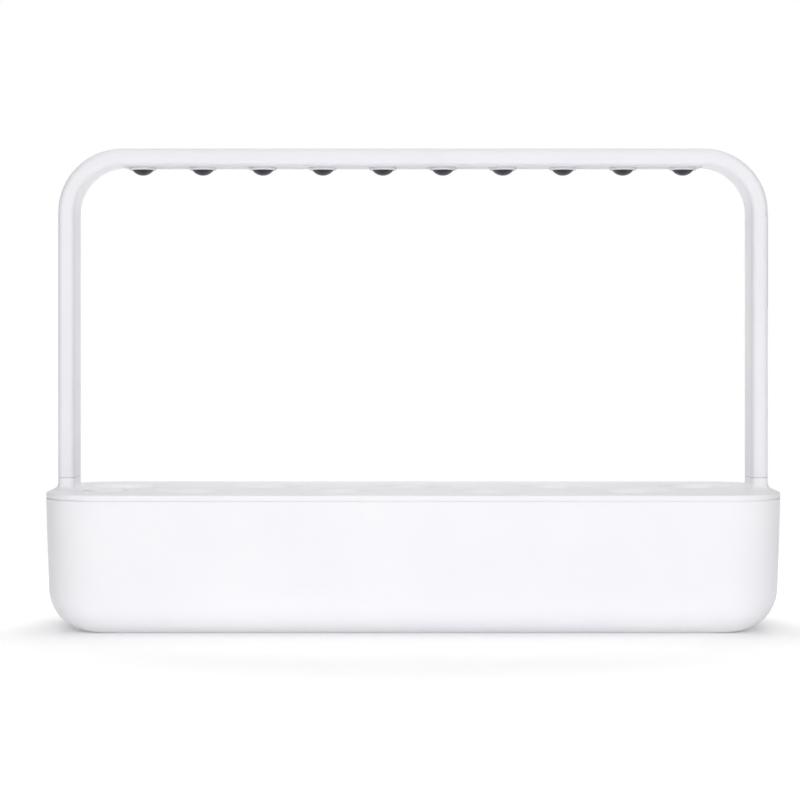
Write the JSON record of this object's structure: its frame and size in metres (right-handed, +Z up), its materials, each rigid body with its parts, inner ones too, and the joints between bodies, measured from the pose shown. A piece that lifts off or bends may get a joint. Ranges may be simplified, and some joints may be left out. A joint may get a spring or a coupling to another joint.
{
  "type": "countertop hydroponic garden",
  "caption": "Long white water tank with a lid of plant cups and a float gauge, under a slim arch-shaped lamp with a row of smoked lenses.",
  "frame": {"origin": "on the worktop under the middle of the tank", "axes": "+Z up, X along the tank's length with the controls on the +X post, -Y to the front"},
  "size_m": [0.612, 0.184, 0.405],
  "materials": {
    "shell_white": "satin moulded ABS",
    "soft_foot": "matt silicone",
    "cup_white": "satin moulded polypropylene",
    "float_white": "smooth moulded",
    "lamp_white": "satin moulded ABS",
    "lamp_trim": "satin moulded ABS",
    "smoked_lens": "smoked clear polycarbonate",
    "board_white": "white solder mask on aluminium",
    "phosphor": "yellow phosphor",
    "screw_steel": "zinc plated",
    "button_grey": "satin moulded",
    "black_plastic": "matt black",
    "board_green": "solder mask on glass fibre",
    "lead_insulation": "PVC insulation"
  },
  "bodies": {
    "tank": {"water_tank": "shell_white", "tank_feet": "soft_foot"},
    "lid": {"lid": "shell_white"},
    "cup_1": {"plant_cup_1": "cup_white"},
    "cup_2": {"plant_cup_2": "cup_white"},
    "cup_3": {"plant_cup_3": "cup_white"},
    "cup_4": {"plant_cup_4": "cup_white"},
    "cup_5": {"plant_cup_5": "cup_white"},
    "cup_6": {"plant_cup_6": "cup_white"},
    "cup_7": {"plant_cup_7": "cup_white"},
    "cup_8": {"plant_cup_8": "cup_white"},
    "cup_9": {"plant_cup_9": "cup_white"},
    "float": {"float_gauge": "float_white"},
    "lamp": {"lamp_arch": "lamp_white", "bar_cover": "lamp_trim", "lens_collars": "lamp_trim", "lenses": "smoked_lens", "light_board": "board_white", "light_chips": "phosphor", "board_screws": "screw_steel", "control_cover": "lamp_white", "button_switch": "black_plastic", "control_board": "board_green", "board_parts": "black_plastic", "power_socket": "black_plastic", "lead_wires": "lead_insulation"},
    "button": {"light_button": "button_grey"}
  },
  "joints": [
    {"name": "lid_lift", "type": "slide", "parent": "tank", "child": "lid", "axis": [0, 0, 1], "range_m": [0, 0.09]},
    {"name": "cup_1_lift", "type": "slide", "parent": "lid", "child": "cup_1", "axis": [0, 0, 1], "range_m": [0, 0.08]},
    {"name": "cup_2_lift", "type": "slide", "parent": "lid", "child": "cup_2", "axis": [0, 0, 1], "range_m": [0, 0.08]},
    {"name": "cup_3_lift", "type": "slide", "parent": "lid", "child": "cup_3", "axis": [0, 0, 1], "range_m": [0, 0.08]},
    {"name": "cup_4_lift", "type": "slide", "parent": "lid", "child": "cup_4", "axis": [0, 0, 1], "range_m": [0, 0.08]},
    {"name": "cup_5_lift", "type": "slide", "parent": "lid", "child": "cup_5", "axis": [0, 0, 1], "range_m": [0, 0.08]},
    {"name": "cup_6_lift", "type": "slide", "parent": "lid", "child": "cup_6", "axis": [0, 0, 1], "range_m": [0, 0.08]},
    {"name": "cup_7_lift", "type": "slide", "parent": "lid", "child": "cup_7", "axis": [0, 0, 1], "range_m": [0, 0.08]},
    {"name": "cup_8_lift", "type": "slide", "parent": "lid", "child": "cup_8", "axis": [0, 0, 1], "range_m": [0, 0.08]},
    {"name": "cup_9_lift", "type": "slide", "parent": "lid", "child": "cup_9", "axis": [0, 0, 1], "range_m": [0, 0.08]},
    {"name": "float_sink", "type": "slide", "parent": "lid", "child": "float", "axis": [0, 0, -1], "range_m": [0, 0.058]},
    {"name": "lamp_lift", "type": "slide", "parent": "lid", "child": "lamp", "axis": [0, 0, 1], "range_m": [0, 0.03]},
    {"name": "button_press", "type": "slide", "parent": "lamp", "child": "button", "axis": [-1, 0, 0], "range_m": [0, 0.0007], "stiffness_N_per_m": 600}
  ]
}
